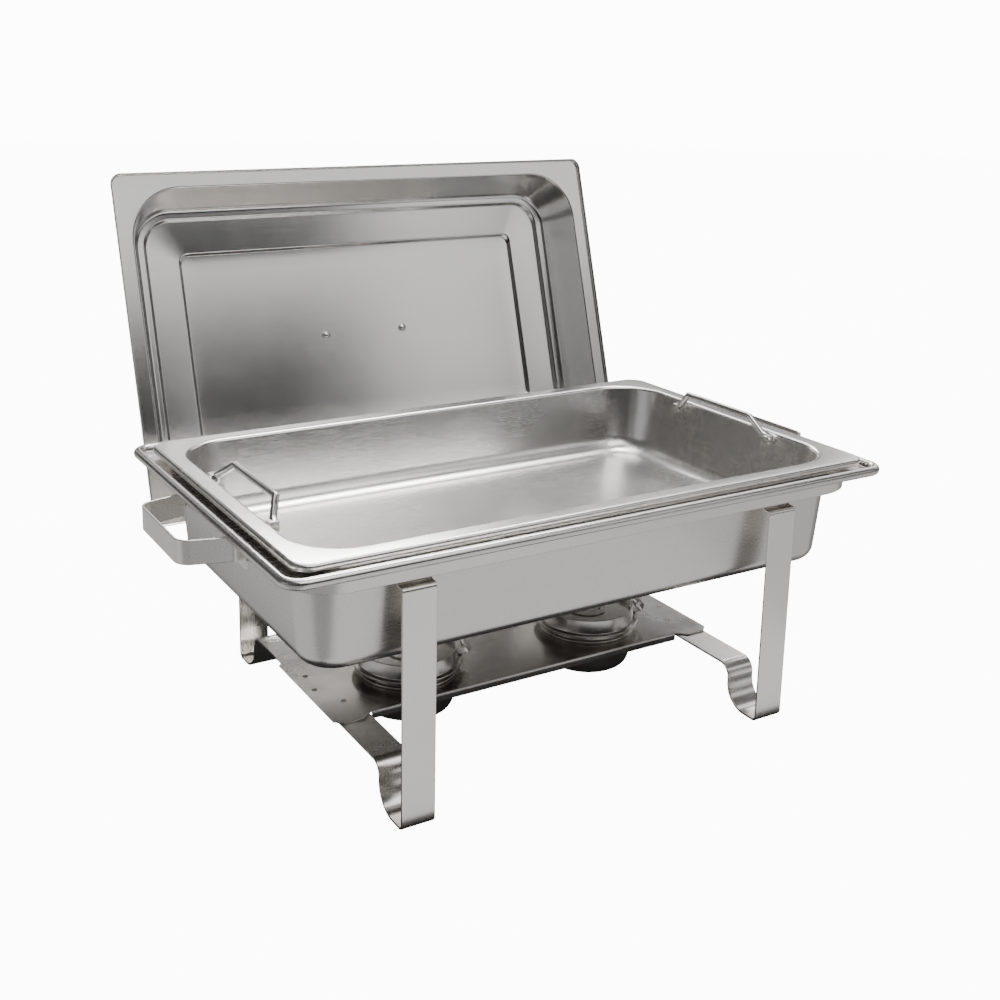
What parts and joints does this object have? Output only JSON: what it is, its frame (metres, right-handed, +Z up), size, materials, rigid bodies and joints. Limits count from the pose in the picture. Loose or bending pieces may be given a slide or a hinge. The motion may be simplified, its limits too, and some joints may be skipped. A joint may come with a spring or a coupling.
{
  "type": "chafing dish",
  "caption": "Chafing dish food warmer: strap-steel stand, water pan, full-size food pan with drop handles, drawn lid parked upright behind, and fuel holders on a shelf.",
  "frame": {"origin": "middle of the whole object's outline on the table, lid parked behind", "axes": "+X along the long side to the right, +Y to the back where the lid is parked, +Z up"},
  "size_m": [0.616, 0.5392, 0.4416],
  "materials": {
    "satin_steel": "satin",
    "polished_steel": "bright satin",
    "strap_steel": "satin",
    "wire_steel": "bright drawn wire",
    "holder_steel": "bright, spun",
    "tin_plate": "semi-matt"
  },
  "bodies": {
    "stand": {"top_band": "strap_steel", "end_frame_left": "strap_steel", "end_frame_right": "strap_steel", "carry_handle_left": "strap_steel", "carry_handle_right": "strap_steel", "burner_shelf": "holder_steel", "lid_rest_left": "strap_steel", "lid_rest_right": "strap_steel"},
    "water_pan": {"water_pan": "satin_steel"},
    "food_pan": {"food_pan": "polished_steel", "bail_clip_left_front": "polished_steel", "bail_clip_left_rear": "polished_steel", "bail_clip_right_front": "polished_steel", "bail_clip_right_rear": "polished_steel"},
    "bail_left": {"bail_left": "wire_steel"},
    "bail_right": {"bail_right": "wire_steel"},
    "lid": {"lid_cover": "satin_steel", "lid_handle": "wire_steel", "lid_washer_left": "wire_steel", "lid_washer_right": "wire_steel", "lid_screw_left": "wire_steel", "lid_screw_right": "wire_steel"},
    "fuel_holder_left": {"fuel_cup_left": "holder_steel", "fuel_collar_left": "holder_steel", "collar_tab_left": "holder_steel", "fuel_can_left": "tin_plate", "damper_pin_left": "holder_steel"},
    "fuel_holder_right": {"fuel_cup_right": "holder_steel", "fuel_collar_right": "holder_steel", "collar_tab_right": "holder_steel", "fuel_can_right": "tin_plate", "damper_pin_right": "holder_steel"},
    "damper_left": {"damper_left": "holder_steel"},
    "damper_right": {"damper_right": "holder_steel"}
  },
  "joints": [
    {"name": "water_pan_lift", "type": "slide", "parent": "stand", "child": "water_pan", "axis": [0, 0, 1], "range_m": [0, 0.12]},
    {"name": "food_pan_lift", "type": "slide", "parent": "water_pan", "child": "food_pan", "axis": [0, 0, 1], "range_m": [0, 0.09]},
    {"name": "bail_left_swing", "type": "hinge", "parent": "food_pan", "child": "bail_left", "pos_m": [-0.2418, -0.09489, 0.2155], "axis": [0, 1, 0], "range_deg": [-60, 50]},
    {"name": "bail_right_swing", "type": "hinge", "parent": "food_pan", "child": "bail_right", "pos_m": [0.2418, -0.09489, 0.2155], "axis": [0, 1, 0], "range_deg": [-70, 40]},
    {"name": "lid_lift", "type": "slide", "parent": "stand", "child": "lid", "axis": [0, 0.2898, 0.9571], "range_m": [0, 0.3]},
    {"name": "fuel_holder_left_lift", "type": "slide", "parent": "stand", "child": "fuel_holder_left", "axis": [0, 0, 1], "range_m": [0, 0.05]},
    {"name": "fuel_holder_right_lift", "type": "slide", "parent": "stand", "child": "fuel_holder_right", "axis": [0, 0, 1], "range_m": [0, 0.05]},
    {"name": "damper_left_swing", "type": "hinge", "parent": "fuel_holder_left", "child": "damper_left", "pos_m": [-0.11833, -0.0696, 0.056], "axis": [0, 0, 1], "range_deg": [0, 38]},
    {"name": "damper_right_swing", "type": "hinge", "parent": "fuel_holder_right", "child": "damper_right", "pos_m": [0.06967, -0.0696, 0.056], "axis": [0, 0, 1], "range_deg": [0, 38]}
  ]
}
